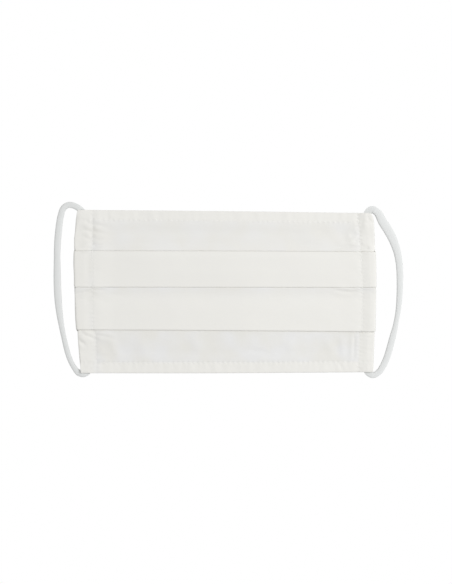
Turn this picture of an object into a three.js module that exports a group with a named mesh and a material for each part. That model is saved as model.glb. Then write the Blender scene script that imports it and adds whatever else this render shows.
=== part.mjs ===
// A pleated cloth face mask lying front side up, with an elastic loop for each ear.
// Millimetres. +X runs along the width, +Y towards the top hem, +Z out of the front.
// The cloth is a folded wall: its course from hem to hem is drawn in the Y-Z plane, given its
// thickness there, and lofted from the left side edge to the right one.
import * as THREE from "three";

// Cloth: two layers of cotton sewn together, taken as one wall.
const WALL = 1.0;
const GAP = 0.3;
const LAYER_STEP = WALL + GAP;
const FOLD_STEPS = 4;
const HEM_WIDTH = 6.6;
const HEM_RAMP = 4.0;
const UPPER_PLEAT_DEPTH = 10.0;
const MIDDLE_PLEAT_DEPTH = 9.3;
const LOWER_PLEAT_DEPTH = 10.0;
const PANEL_SWELL = 0.6;
const PANEL_OVERHANG = 0.5;

// Elastic: a soft flat knitted band, seen 3 to 5 mm wide.
const BAND_WIDTH = 4.2;
const BAND_THICKNESS = 1.8;
const BAND_SIDES = 8;
const BAND_STEPS = 40;

// Casing: the side of the mask turned to the back, a tunnel with the band in it.
const CASING_TURN = 1.3;
const CASING_INSET = 0.2;
const CASING_TURN_IN = 1.9;
const CASING_STATIONS = 12;
const TUNNEL_LIFT = WALL + GAP + BAND_THICKNESS + GAP;

// Lines that run across the mask, as their height in Y at the left side, the middle and the right side.
const TOP_EDGE = { left: 48.0, middle: 47.3, right: 46.1 };
const UPPER_PLEAT = { left: 23.9, middle: 23.8, right: 23.7 };
const PANEL_MIDDLE = { left: 13.2, middle: 13.2, right: 13.2 };
const MIDDLE_PLEAT = { left: 2.6, middle: 2.7, right: 2.4 };
const LOWER_PLEAT = { left: -22.5, middle: -23.1, right: -23.7 };
const BOTTOM_EDGE = { left: -48.0, middle: -48.0, right: -47.6 };

// The side edges and the casing seams, as distances from the middle of the mask.
const SIDES = [
  { y: 48, leftSeam: 77.6, leftEdge: 87.2, rightSeam: 77.7, rightEdge: 86.9 },
  { y: 30, leftSeam: 77.8, leftEdge: 88.7, rightSeam: 79.5, rightEdge: 88.2 },
  { y: 4, leftSeam: 78.0, leftEdge: 88.5, rightSeam: 80.8, rightEdge: 88.65 },
  { y: -20, leftSeam: 77.6, leftEdge: 87.3, rightSeam: 80.6, rightEdge: 88.25 },
  { y: -24, leftSeam: 76.2, leftEdge: 86.9, rightSeam: 79.4, rightEdge: 88.1 },
  { y: -40, leftSeam: 75.4, leftEdge: 85.6, rightSeam: 78.7, rightEdge: 87.6 },
  { y: -48, leftSeam: 75.0, leftEdge: 84.9, rightSeam: 78.4, rightEdge: 87.3 },
];

// How the cloth rises at each side to pass over its casing: distance out from the seam, and height.
const SIDE_RISE = [
  { out: 6.0, lift: TUNNEL_LIFT },
  { out: 2.2, lift: TUNNEL_LIFT },
  { out: -2.2, lift: WALL + GAP },
  { out: -7.0, lift: 0 },
];
const MIDDLE_STATIONS = 8;

// The course of the cloth, from the raw edge of the top hem to the raw edge of the bottom hem.
// A row lies at a line moved up by raised, in a layer counted from the back. Where it has foldsTo,
// the line is the tip of a fold into that layer. The cloth of a row with out reaches further sideways.
const COURSE = [
  { line: TOP_EDGE, raised: -HEM_WIDTH, layer: 0, out: 0, swell: 0 },
  { line: TOP_EDGE, raised: 0, layer: 0, foldsTo: 1, out: 0, swell: 0 },
  { line: TOP_EDGE, raised: -HEM_WIDTH - GAP, layer: 1, out: 0, swell: 0 },
  { line: TOP_EDGE, raised: -HEM_WIDTH - HEM_RAMP, layer: 0, out: 0, swell: 0 },
  { line: UPPER_PLEAT, raised: -UPPER_PLEAT_DEPTH, layer: 0, foldsTo: 1, out: 0, swell: 0 },
  { line: UPPER_PLEAT, raised: 0, layer: 1, foldsTo: 2, out: PANEL_OVERHANG, swell: 0 },
  { line: PANEL_MIDDLE, raised: 0, layer: 2, out: PANEL_OVERHANG, swell: PANEL_SWELL },
  { line: MIDDLE_PLEAT, raised: 0, layer: 2, foldsTo: 1, out: PANEL_OVERHANG, swell: 0 },
  { line: MIDDLE_PLEAT, raised: MIDDLE_PLEAT_DEPTH, layer: 1, foldsTo: 0, out: 0, swell: 0 },
  { line: MIDDLE_PLEAT, raised: -LAYER_STEP, layer: 0, out: PANEL_OVERHANG, swell: 0 },
  { line: LOWER_PLEAT, raised: LOWER_PLEAT_DEPTH + LAYER_STEP, layer: 2, out: PANEL_OVERHANG, swell: 0 },
  { line: LOWER_PLEAT, raised: 0, layer: 2, foldsTo: 1, out: PANEL_OVERHANG, swell: 0 },
  { line: LOWER_PLEAT, raised: LOWER_PLEAT_DEPTH, layer: 1, foldsTo: 0, out: 0, swell: 0 },
  { line: BOTTOM_EDGE, raised: HEM_WIDTH + HEM_RAMP, layer: 0, out: 0, swell: 0 },
  { line: BOTTOM_EDGE, raised: HEM_WIDTH + GAP, layer: 1, out: 0, swell: 0 },
  { line: BOTTOM_EDGE, raised: 0, layer: 1, foldsTo: 0, out: 0, swell: 0 },
  { line: BOTTOM_EDGE, raised: HEM_WIDTH, layer: 0, out: 0, swell: 0 },
];

// Each casing, with the ends of its strip in Y. The ends stop short of the hems where the band comes out.
const CASINGS = [
  { name: "left_casing", side: -1, seam: "leftSeam", edge: "leftEdge", top: 44.5, bottom: -42.5 },
  { name: "right_casing", side: 1, seam: "rightSeam", edge: "rightEdge", top: 42.5, bottom: -44.5 },
];

// Routes of the two bands: up out of the casing, round outside the mask and back into the casing from
// below, then up through it. The two ends meet there, out of sight.
const LEFT_BAND_ROUTE = [
  [-83.1, 32.6, 2.2],
  [-82.8, 38.0, 2.2],
  [-82.8, 44.0, 2.2],
  [-84.9, 48.6, 2.1],
  [-88.0, 50.8, 1.9],
  [-91.4, 50.9, 1.6],
  [-94.6, 49.0, 1.4],
  [-96.2, 45.4, 1.2],
  [-97.1, 40.8, 1.2],
  [-98.1, 31.4, 1.2],
  [-98.5, 23.0, 1.2],
  [-98.5, 13.0, 1.2],
  [-98.3, 2.0, 1.2],
  [-97.5, -9.5, 1.2],
  [-95.9, -20.5, 1.2],
  [-93.55, -31.5, 1.2],
  [-91.45, -38.8, 1.2],
  [-89.2, -43.6, 1.3],
  [-86.7, -47.1, 1.6],
  [-83.8, -48.4, 1.9],
  [-81.4, -46.6, 2.1],
  [-80.9, -43.0, 2.2],
  [-81.4, -34.0, 2.2],
  [-82.4, -24.0, 2.2],
  [-83.2, -12.0, 2.2],
  [-83.4, 2.0, 2.2],
  [-83.4, 17.0, 2.2],
  [-83.1, 31.6, 2.2],
];
const RIGHT_BAND_ROUTE = [
  [83.7, 30.6, 2.2],
  [83.2, 37.0, 2.2],
  [83.2, 42.5, 2.2],
  [84.4, 46.8, 2.1],
  [86.9, 48.3, 1.9],
  [89.8, 46.4, 1.6],
  [93.5, 40.4, 1.4],
  [96.1, 36.1, 1.2],
  [98.5, 31.4, 1.2],
  [100.3, 26.7, 1.2],
  [101.7, 22.0, 1.2],
  [102.75, 15.0, 1.2],
  [103.0, 8.0, 1.2],
  [102.8, -1.4, 1.2],
  [101.85, -10.8, 1.2],
  [100.2, -20.2, 1.2],
  [97.75, -29.6, 1.2],
  [94.95, -39.0, 1.2],
  [92.9, -43.6, 1.3],
  [90.3, -47.4, 1.6],
  [87.1, -49.1, 1.9],
  [84.4, -47.6, 2.1],
  [83.3, -44.0, 2.2],
  [83.2, -34.0, 2.2],
  [84.0, -22.0, 2.2],
  [84.4, -11.0, 2.2],
  [84.5, 2.0, 2.2],
  [84.3, 16.0, 2.2],
  [83.7, 29.6, 2.2],
];

const COTTON = new THREE.MeshStandardMaterial({ color: 0xebeae5, roughness: 0.95, metalness: 0 });
const CASING_COTTON = new THREE.MeshStandardMaterial({ color: 0xe8e7e2, roughness: 0.95, metalness: 0 });
const ELASTIC = new THREE.MeshStandardMaterial({ color: 0xe4e6e4, roughness: 0.85, metalness: 0 });

// The value of one column of SIDES at a height y, straight between its rows.
function sideAt(y, column) {
  const last = SIDES.length - 1;
  let k = 0;
  while (k < last - 1 && y < SIDES[k + 1].y) k += 1;
  const [upper, lower] = [SIDES[k], SIDES[k + 1]];
  return THREE.MathUtils.mapLinear(y, upper.y, lower.y, upper[column], lower[column]);
}

// The height of a line at a place across the mask: -1 at the left side, 0 in the middle, 1 at the right.
function lineAt(line, across) {
  const tilt = (line.right - line.left) / 2;
  const bow = (line.right + line.left) / 2 - line.middle;
  return line.middle + tilt * across + bow * across * across;
}

const layerHeight = (layer) => WALL / 2 + layer * LAYER_STEP;

// The middle line of the cloth in one section across the mask: y, z, and how far out its row reaches.
function courseAt(across) {
  const points = [];
  let before = -Infinity;
  for (const row of COURSE) {
    const y = lineAt(row.line, across) + row.raised;
    const z = layerHeight(row.layer);
    if (row.foldsTo === undefined) {
      points.push({ u: y, v: z + row.swell * (1 - across * across), out: row.out });
    } else {
      const radius = LAYER_STEP / 2;
      const forward = Math.sign(y - before);
      const rise = Math.sign(row.foldsTo - row.layer);
      const centre = y - forward * (radius + WALL / 2);
      for (let step = 0; step <= FOLD_STEPS; step += 1) {
        const turn = (Math.PI * step) / FOLD_STEPS;
        const v = z + rise * radius * (1 - Math.cos(turn));
        points.push({ u: centre + forward * radius * Math.sin(turn), v, out: row.out });
      }
    }
    before = y;
  }
  return points;
}

// The closed outline of a wall that follows a middle line, mitred at its corners.
// One face comes first, along the line, and the other face follows, back along it.
function wallOutline(line) {
  const sides = line.slice(1).map((point, k) => {
    const along = new THREE.Vector2(point.u - line[k].u, point.v - line[k].v).normalize();
    return new THREE.Vector2(along.y, -along.x);
  });
  const face = (sign) => line.map((point, k) => {
    const before = sides[Math.max(k - 1, 0)];
    const after = sides[Math.min(k, sides.length - 1)];
    const offset = before.clone().add(after).multiplyScalar((sign * WALL) / 2 / (1 + before.dot(after)));
    return { ...point, u: point.u + offset.x, v: point.v + offset.y };
  });
  return [...face(1), ...face(-1).reverse()];
}

// A closed solid through equal outlines of a wall, with the two end outlines filled in.
function loft(outlines) {
  const around = outlines[0].length;
  const positions = outlines.flat().flatMap((p) => [p.x, p.y, p.z]);
  const triangles = [];
  for (let station = 0; station + 1 < outlines.length; station += 1) {
    for (let k = 0; k < around; k += 1) {
      const [a, b] = [station * around + k, station * around + ((k + 1) % around)];
      triangles.push(a, b, a + around, b, b + around, a + around);
    }
  }
  const lastRing = (outlines.length - 1) * around;
  for (let k = 0; k + 1 < around / 2; k += 1) {
    const [near, next, far, opposite] = [k, k + 1, around - 2 - k, around - 1 - k];
    triangles.push(near, far, next, near, opposite, far);
    triangles.push(lastRing + near, lastRing + next, lastRing + far);
    triangles.push(lastRing + near, lastRing + far, lastRing + opposite);
  }
  const geometry = new THREE.BufferGeometry();
  geometry.setAttribute("position", new THREE.Float32BufferAttribute(positions, 3));
  geometry.setIndex(triangles);
  geometry.computeVertexNormals();
  return geometry;
}

// Places across the cloth from its left side edge to its right one: how to find x, and the lift there.
function bodyStations() {
  const left = SIDE_RISE.map(({ out, lift }) => ({ lift, x: (p) => -sideAt(p.u, "leftSeam") - out }));
  const right = SIDE_RISE.map(({ out, lift }) => ({ lift, x: (p) => sideAt(p.u, "rightSeam") + out }));
  const [from, to] = [left.at(-1), right.at(-1)];
  const middle = [];
  for (let k = 1; k <= MIDDLE_STATIONS; k += 1) {
    const part = k / (MIDDLE_STATIONS + 1);
    middle.push({ lift: 0, x: (p) => THREE.MathUtils.lerp(from.x(p), to.x(p), part) });
  }
  return [
    { lift: TUNNEL_LIFT, x: (p) => -sideAt(p.u, "leftEdge") - p.out },
    ...left,
    ...middle,
    ...right.reverse(),
    { lift: TUNNEL_LIFT, x: (p) => sideAt(p.u, "rightEdge") + p.out },
  ];
}

// The pleated front with its two turned hems, one folded wall.
function pleatedBody() {
  const midHeight = { u: 0, out: 0 };
  const outlines = bodyStations().map((station) => {
    const across = THREE.MathUtils.clamp(station.x(midHeight) / sideAt(0, "rightEdge"), -1, 1);
    return wallOutline(courseAt(across)).map((p) => (
      new THREE.Vector3(station.x(p), p.u, p.v + station.lift)
    ));
  });
  return loft(outlines);
}

// One casing: a strip flat on the back that turns up behind the side edge, closing the tunnel.
function casing({ side, seam, edge, top, bottom }) {
  const stripHeight = WALL / 2;
  const turnTop = TUNNEL_LIFT - GAP;
  const outlines = [];
  for (let k = 0; k < CASING_STATIONS; k += 1) {
    const y = THREE.MathUtils.lerp(top, bottom, k / (CASING_STATIONS - 1));
    const inner = sideAt(y, seam) - CASING_TURN_IN;
    const outer = sideAt(y, edge) - CASING_INSET - WALL / 2;
    const line = [{ u: side * inner, v: stripHeight }];
    for (let step = 0; step <= FOLD_STEPS; step += 1) {
      const turn = (Math.PI * step) / FOLD_STEPS / 2;
      const out = outer - CASING_TURN * (1 - Math.sin(turn));
      line.push({ u: side * out, v: stripHeight + CASING_TURN * (1 - Math.cos(turn)) });
    }
    line.push({ u: side * outer, v: turnTop });
    outlines.push(wallOutline(line).map((p) => new THREE.Vector3(p.u, y, p.v)));
  }
  return loft(outlines);
}

// A flat band with a rounded section along its route. The first side of the section is the thickness.
function band(route) {
  const section = new THREE.Shape();
  for (let k = 0; k < BAND_SIDES; k += 1) {
    const angle = (2 * Math.PI * (k + 0.5)) / BAND_SIDES;
    const fullness = 1 / Math.cos(Math.PI / BAND_SIDES);
    const x = (BAND_THICKNESS / 2) * fullness * Math.cos(angle);
    const y = (BAND_WIDTH / 2) * fullness * Math.sin(angle);
    if (k === 0) section.moveTo(x, y);
    else section.lineTo(x, y);
  }
  section.closePath();
  const points = route.map(([x, y, z]) => new THREE.Vector3(x, y, z));
  const extrudePath = new THREE.CatmullRomCurve3(points, false, "centripetal");
  return new THREE.ExtrudeGeometry(section, { steps: BAND_STEPS, bevelEnabled: false, extrudePath });
}

function piece(name, geometry, material) {
  const mesh = new THREE.Mesh(geometry, material);
  mesh.name = name;
  return mesh;
}

const cloth = new THREE.Group();
cloth.add(piece("pleated_body", pleatedBody(), COTTON));
for (const one of CASINGS) cloth.add(piece(one.name, casing(one), CASING_COTTON));

const earLoops = new THREE.Group();
earLoops.add(piece("ear_loop_left", band(LEFT_BAND_ROUTE), ELASTIC));
earLoops.add(piece("ear_loop_right", band(RIGHT_BAND_ROUTE), ELASTIC));

const mask = new THREE.Group();
mask.add(cloth, earLoops);

export default mask;
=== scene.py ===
"""Dresses a pleated cloth face mask: folded cotton, its casings and stitches, and two elastic ear loops.

Sizes inside the classes are millimetres in the row frame, and meshes are written in metres.
"""
import logging
import math
from dataclasses import dataclass, field
from enum import Enum

import bpy
import numpy as np
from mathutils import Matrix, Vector, noise
from mathutils.bvhtree import BVHTree


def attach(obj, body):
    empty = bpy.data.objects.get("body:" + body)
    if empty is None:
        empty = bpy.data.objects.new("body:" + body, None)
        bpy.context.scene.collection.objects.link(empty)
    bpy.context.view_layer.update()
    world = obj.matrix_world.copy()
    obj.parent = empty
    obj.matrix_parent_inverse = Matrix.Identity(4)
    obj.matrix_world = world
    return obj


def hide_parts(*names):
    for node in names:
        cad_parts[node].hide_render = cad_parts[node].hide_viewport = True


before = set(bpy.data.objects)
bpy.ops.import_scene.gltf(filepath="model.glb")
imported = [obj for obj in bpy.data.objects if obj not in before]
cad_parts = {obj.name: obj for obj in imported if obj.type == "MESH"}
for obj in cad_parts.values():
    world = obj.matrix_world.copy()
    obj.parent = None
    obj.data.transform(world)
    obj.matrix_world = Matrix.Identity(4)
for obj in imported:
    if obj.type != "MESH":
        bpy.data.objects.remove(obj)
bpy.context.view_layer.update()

log = logging.getLogger("mask")

MM = 0.001
Line = tuple[float, float, float]
Table = tuple[tuple[float, float], ...]

# Lines across the mask, as heights in Y at the left side, the middle and the right side.
TOP_EDGE: Line = (48.0, 47.3, 46.1)
UPPER_PLEAT: Line = (23.9, 23.8, 23.3)
MIDDLE_PLEAT: Line = (2.6, 2.5, 2.4)
LOWER_PLEAT: Line = (-22.4, -22.9, -23.6)
BOTTOM_EDGE: Line = (-47.9, -47.95, -47.3)
HEM_SEAM = 5.8

BOTTOM_HEM_SEAM = HEM_SEAM + 0.5
HALF_WIDTH = 88.65

SEAM_PITCH = 2.43
HEM_PITCH = 2.93
TOP_HEM_PITCH = 3.0


class Side(Enum):
    """A side of the mask, as the sign of its X."""

    LEFT = -1
    RIGHT = 1


class Zone(Enum):
    """A part of the front between two pleats, which has a side edge of its own."""

    TOP = 0
    PANEL = 1
    BOTTOM = 2


class Face(Enum):
    """The face of the cloth that a line of stitches shows on."""

    FRONT = 1
    BACK = -1


@dataclass(frozen=True)
class SideLines:
    """The seam and the edge of one side, as distances from the middle at heights in Y.

    The pinch is how high the cloth lies at its seam. The floors are the lowest that its relief may go,
    by distance out from the seam.
    """

    side: Side
    seam: Table
    edges: dict[Zone, Table]
    casing_top: float
    casing_bottom: float
    pinch: float
    floors: Table

    def seam_at(self, y: np.ndarray | float) -> np.ndarray:
        """Distance of the casing seam from the middle.

        Args:
            y: heights in Y.

        Returns:
            One distance for each height.
        """
        return read_table(self.seam, y)

    def edge_at(self, zone: Zone, y: np.ndarray | float) -> np.ndarray:
        """Distance of the side edge of a zone from the middle.

        Args:
            zone: the part of the front.
            y: heights in Y.

        Returns:
            One distance for each height.
        """
        return read_table(self.edges[zone], y)

    def mouth_at(self, y: np.ndarray | float) -> np.ndarray:
        """How far the casing has opened for the band to come out, from 0 inside it to 1 past its end.

        Args:
            y: heights in Y.

        Returns:
            One share for each height.
        """
        above = smooth((np.asarray(y) - self.casing_top + 2.0) / 3.0)
        below = smooth((self.casing_bottom + 2.0 - np.asarray(y)) / 3.0)
        return np.maximum(above, below)


def read_table(table: Table, y: np.ndarray | float) -> np.ndarray:
    """Reads a table of (height, value) rows, straight between its rows.

    Args:
        table: rows in any order.
        y: where to read it.

    Returns:
        The values at y.
    """
    rows = sorted(table)
    return np.interp(y, [row[0] for row in rows], [row[1] for row in rows])


def smooth(t: np.ndarray | float) -> np.ndarray:
    """A soft step from 0 to 1 as t goes from 0 to 1.

    Args:
        t: the place on the step.

    Returns:
        The step's height.
    """
    t = np.clip(t, 0.0, 1.0)
    return t * t * (3.0 - 2.0 * t)


def line_at(line: Line, across: np.ndarray | float) -> np.ndarray:
    """Height of a line across the mask.

    Args:
        line: heights at the left side, the middle and the right side.
        across: -1 at the left side, 0 in the middle and 1 at the right.

    Returns:
        The heights in Y.
    """
    left, middle, right = line
    tilt = (right - left) / 2
    bow = (right + left) / 2 - middle
    return middle + tilt * across + bow * across * across


LEFT = SideLines(
    side=Side.LEFT,
    seam=((48, 77.6), (30, 77.8), (4, 78.0), (-22, 77.7), (-25, 76.0), (-40, 75.4), (-48, 75.0)),
    edges={
        Zone.TOP: ((48.2, 86.2), (47.5, 86.6), (42.7, 87.4), (35.7, 88.0), (31.0, 88.55),
                   (24.7, 88.5), (14.0, 88.5)),
        Zone.PANEL: ((24.6, 88.75), (16.0, 88.95), (9.0, 88.6), (3.7, 88.6), (-1.3, 88.2),
                     (-10.3, 88.05), (-15.3, 87.9), (-20.3, 87.5), (-23.5, 87.3)),
        Zone.BOTTOM: ((-13.0, 86.6), (-22.5, 86.55), (-29.3, 86.25), (-34.3, 85.8),
                      (-39.3, 85.4), (-43.3, 84.95), (-47.4, 84.6), (-48.2, 84.0)),
    },
    casing_top=44.5,
    casing_bottom=-42.5,
    pinch=1.15,
    floors=((-4.5, -0.45), (0.0, -0.3), (1.0, -0.22), (6.0, -0.25)),
)
RIGHT = SideLines(
    side=Side.RIGHT,
    seam=((48, 77.7), (30, 79.5), (4, 80.8), (-22, 80.6), (-25, 79.1), (-40, 78.7), (-48, 78.4)),
    edges={
        Zone.TOP: ((46.4, 84.2), (45.9, 85.5), (45.3, 86.3), (44.5, 86.8), (42.5, 87.5),
                   (40.7, 87.75), (33.7, 88.15), (24.7, 88.25), (14.0, 88.3)),
        Zone.PANEL: ((24.6, 88.85), (9.7, 89.15), (2.7, 89.15), (-6.3, 88.95), (-15.0, 88.75),
                     (-20.0, 88.75), (-24.0, 88.6)),
        Zone.BOTTOM: ((-14.0, 88.2), (-23.7, 88.15), (-34.3, 87.75), (-46.3, 87.35),
                      (-47.8, 86.7)),
    },
    casing_top=42.5,
    casing_bottom=-44.5,
    pinch=0.8,
    floors=((-4.5, -0.45), (-2.4, -0.15), (0.0, -0.05), (3.2, -0.03), (4.4, -0.25), (8.0, -0.25)),
)


def write_mesh(name: str, points: np.ndarray, faces: list) -> bpy.types.Object:
    """Makes a smooth shaded object from points in millimetres.

    Args:
        name: the object's name.
        points: one row for each vertex.
        faces: vertex numbers of each face, outwards.

    Returns:
        The linked object.
    """
    mesh = bpy.data.meshes.new(name)
    mesh.from_pydata((points * MM).tolist(), [], faces)
    mesh.polygons.foreach_set("use_smooth", [True] * len(mesh.polygons))
    mesh.update()
    made = bpy.data.objects.new(name, mesh)
    bpy.context.collection.objects.link(made)
    return made


def write_floats(made: bpy.types.Object, name: str, values: np.ndarray) -> None:
    """Writes one number for each vertex as a named attribute.

    Args:
        made: the object.
        name: the attribute's name.
        values: one value for each vertex.
    """
    layer = made.data.attributes.new(name, "FLOAT", "POINT")
    layer.data.foreach_set("value", np.ascontiguousarray(values, dtype=np.float32).ravel())


def write_uv(made: bpy.types.Object, across: np.ndarray, along: np.ndarray) -> None:
    """Writes a UV map in metres of cloth.

    Args:
        made: the object.
        across: first coordinate of each vertex, in millimetres.
        along: second coordinate of each vertex, in millimetres.
    """
    corners = np.empty(len(made.data.loops), dtype=np.int32)
    made.data.loops.foreach_get("vertex_index", corners)
    flat = np.stack([across.ravel()[corners], along.ravel()[corners]], axis=1) * MM
    layer = made.data.uv_layers.new(name="cloth")
    layer.data.foreach_set("uv", flat.astype(np.float32).ravel())


class Graph:
    """A material's nodes, made with short calls."""

    def __init__(self, name: str) -> None:
        """Starts an empty material.

        Args:
            name: the material's name.
        """
        self.material = bpy.data.materials.new(name)
        self.material.use_nodes = True
        self.tree = self.material.node_tree
        self.tree.nodes.clear()

    def node(self, kind: str, **settings: object) -> bpy.types.Node:
        """Adds a node.

        Args:
            kind: the node's type name, without its common start.
            **settings: properties to set on it.

        Returns:
            The node.
        """
        made = self.tree.nodes.new("ShaderNode" + kind)
        for key, value in settings.items():
            setattr(made, key, value)
        return made

    def feed(self, value: object, socket: bpy.types.NodeSocket) -> None:
        """Links an output to an input, or sets the input to a plain value.

        Args:
            value: an output socket or a value.
            socket: the input.
        """
        if isinstance(value, bpy.types.NodeSocket):
            self.tree.links.new(value, socket)
        else:
            socket.default_value = value

    def maths(self, operation: str, *values: object) -> bpy.types.NodeSocket:
        """Adds a maths node.

        Args:
            operation: its operation.
            *values: its inputs, in order.

        Returns:
            Its output.
        """
        made = self.node("Math", operation=operation)
        for value, socket in zip(values, made.inputs):
            self.feed(value, socket)
        return made.outputs[0]

    def attribute(self, name: str) -> bpy.types.NodeSocket:
        """Reads a number written on the mesh.

        Args:
            name: the attribute's name.

        Returns:
            Its value.
        """
        return self.node("Attribute", attribute_name=name).outputs["Fac"]

    def split(self, socket: bpy.types.NodeSocket) -> list[bpy.types.NodeSocket]:
        """Splits a vector.

        Args:
            socket: the vector.

        Returns:
            Its three parts.
        """
        made = self.node("SeparateXYZ")
        self.feed(socket, made.inputs[0])
        return list(made.outputs)

    def cloud(self, scale: float, detail: float = 2.0) -> bpy.types.NodeSocket:
        """Adds soft noise through the object.

        Args:
            scale: how fine it is.
            detail: how many finer layers it has.

        Returns:
            Its value, from 0 to 1.
        """
        made = self.node("TexNoise", noise_dimensions="3D")
        self.feed(self.node("TexCoord").outputs["Object"], made.inputs["Vector"])
        made.inputs["Scale"].default_value = scale
        made.inputs["Detail"].default_value = detail
        return made.outputs["Fac"]

    def bump(self, height: bpy.types.NodeSocket, strength: float, distance: float) -> bpy.types.Node:
        """Adds fine relief.

        Args:
            height: how high it is.
            strength: how strongly it shows.
            distance: the size of one unit of height, in metres.

        Returns:
            The node.
        """
        made = self.node("Bump")
        made.inputs["Strength"].default_value = strength
        made.inputs["Distance"].default_value = distance
        self.feed(height, made.inputs["Height"])
        return made

    def bell(self, distance: bpy.types.NodeSocket, width: float) -> bpy.types.NodeSocket:
        """A bell curve, 1 at no distance.

        Args:
            distance: how far off, in millimetres.
            width: where the curve has dropped to about a third.

        Returns:
            The curve's height.
        """
        part = self.maths("DIVIDE", distance, width)
        square = self.maths("MULTIPLY", part, part)
        return self.maths("EXPONENT", self.maths("MULTIPLY", square, -1.0))

    def wave(self, place: bpy.types.NodeSocket, pitch: float) -> bpy.types.NodeSocket:
        """A cosine wave.

        Args:
            place: the place along it.
            pitch: its length.

        Returns:
            The wave, from -1 to 1.
        """
        return self.maths("COSINE", self.maths("MULTIPLY", place, 2 * math.pi / pitch))


@dataclass(frozen=True)
class CottonFinish:
    """Plain woven cotton in an off-white, with the pull of its stitches as fine relief.

    Where fewer layers lie on each other the cloth looks a little cooler and darker. The same darker colour
    is also painted as shade below the middle pleat and along the left seam.
    """

    color: tuple[float, float, float] = (0.862, 0.853, 0.817)
    # The darker colours below serve for thin single-ply cloth and also for painted shade.
    thin_ply_and_shade_warm: tuple[float, float, float] = (0.812, 0.803, 0.766)
    thin_ply_and_shade_cool: tuple[float, float, float] = (0.828, 0.829, 0.829)
    roughness: float = 0.9
    sheen: float = 0.15
    weave_pitch: float = 0.42
    weave_depth: float = 0.012
    pucker_depth: float = 0.085

    def make(self) -> bpy.types.Material:
        """Builds the material.

        Returns:
            The material.
        """
        g = Graph("cotton")
        uv = g.node("UVMap", uv_map="cloth").outputs[0]
        across, along, _ = g.split(uv)
        scale = 1.0 / MM
        warp = g.wave(g.maths("MULTIPLY", across, scale), self.weave_pitch)
        weft = g.wave(g.maths("MULTIPLY", along, scale), self.weave_pitch)
        weave = g.maths("MULTIPLY", g.maths("MULTIPLY", warp, weft), self.weave_depth)
        x, y, _ = g.split(g.node("TexCoord").outputs["Object"])
        x = g.maths("MULTIPLY", x, scale)
        y = g.maths("MULTIPLY", y, scale)
        seam = g.attribute("seam_off")
        slant = g.maths("ADD", y, g.maths("MULTIPLY", seam, 0.2))
        seam_pull = g.maths("MULTIPLY", g.bell(seam, 1.3), g.wave(slant, SEAM_PITCH))
        hem = g.attribute("hem_off")
        hem_pull = g.maths("MULTIPLY", g.bell(hem, 1.1), g.wave(x, HEM_PITCH))
        groove = g.maths("ADD", g.bell(seam, 0.7), g.bell(hem, 0.6))
        pull = g.maths("ADD", seam_pull, g.maths("MULTIPLY", hem_pull, 0.6))
        pull = g.maths("SUBTRACT", pull, g.maths("MULTIPLY", groove, 0.8))
        pull = g.maths("MULTIPLY", pull, self.pucker_depth)
        slub = g.maths("MULTIPLY", g.cloud(260.0, 4.0), 0.08)
        bump = g.bump(g.maths("ADD", g.maths("ADD", weave, pull), slub), 0.8, MM)
        tint = g.node("MixRGB", blend_type="MIX")
        tint.inputs[1].default_value = (*self.color, 1.0)
        spread = g.maths("MULTIPLY", g.maths("SUBTRACT", g.cloud(70.0, 1.5), 0.5), 3.2)
        # The darker colour stands for thin single-ply cloth and also for painted shade below the middle
        # pleat and along the left seam.
        thin_ply_and_shade = g.node("MixRGB", blend_type="MIX", use_clamp=True)
        g.feed(g.maths("ADD", spread, 0.5), thin_ply_and_shade.inputs[0])
        thin_ply_and_shade.inputs[1].default_value = (*self.thin_ply_and_shade_warm, 1.0)
        thin_ply_and_shade.inputs[2].default_value = (*self.thin_ply_and_shade_cool, 1.0)
        g.feed(thin_ply_and_shade.outputs[0], tint.inputs[2])
        g.feed(g.attribute("thin_ply_and_shade"), tint.inputs[0])
        return finish_surface(g, tint.outputs[0], self.roughness, self.sheen, bump)


@dataclass(frozen=True)
class PlainCottonFinish:
    """The same off-white on small cotton pieces such as the casings and the thread."""

    name: str
    color: tuple[float, float, float] = (0.862, 0.852, 0.818)
    roughness: float = 0.9
    sheen: float = 0.15

    def make(self) -> bpy.types.Material:
        """Builds the material.

        Returns:
            The material.
        """
        g = Graph(self.name)
        bump = g.bump(g.cloud(700.0), 0.5, 0.1 * MM)
        return finish_surface(g, (*self.color, 1.0), self.roughness, self.sheen, bump)


@dataclass(frozen=True)
class ElasticFinish:
    """Soft knitted elastic, with fine loops in rows along the band."""

    color: tuple[float, float, float] = (0.79, 0.803, 0.797)
    roughness: float = 0.8
    sheen: float = 0.1
    rib_pitch: float = 0.62
    loop_pitch: float = 0.8
    depth: float = 0.035

    def make(self) -> bpy.types.Material:
        """Builds the material.

        Returns:
            The material.
        """
        g = Graph("elastic")
        around, along, _ = g.split(g.node("UVMap", uv_map="cloth").outputs[0])
        around = g.maths("MULTIPLY", around, 1.0 / MM)
        along = g.maths("MULTIPLY", along, 1.0 / MM)
        rib = g.wave(around, self.rib_pitch)
        bent = g.maths("ADD", along, g.maths("MULTIPLY", rib, 0.25))
        loops = g.wave(bent, self.loop_pitch)
        relief = g.maths("ADD", rib, g.maths("MULTIPLY", loops, 0.6))
        bump = g.bump(g.maths("MULTIPLY", relief, self.depth), 0.6, MM)
        return finish_surface(g, (*self.color, 1.0), self.roughness, self.sheen, bump)


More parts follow.
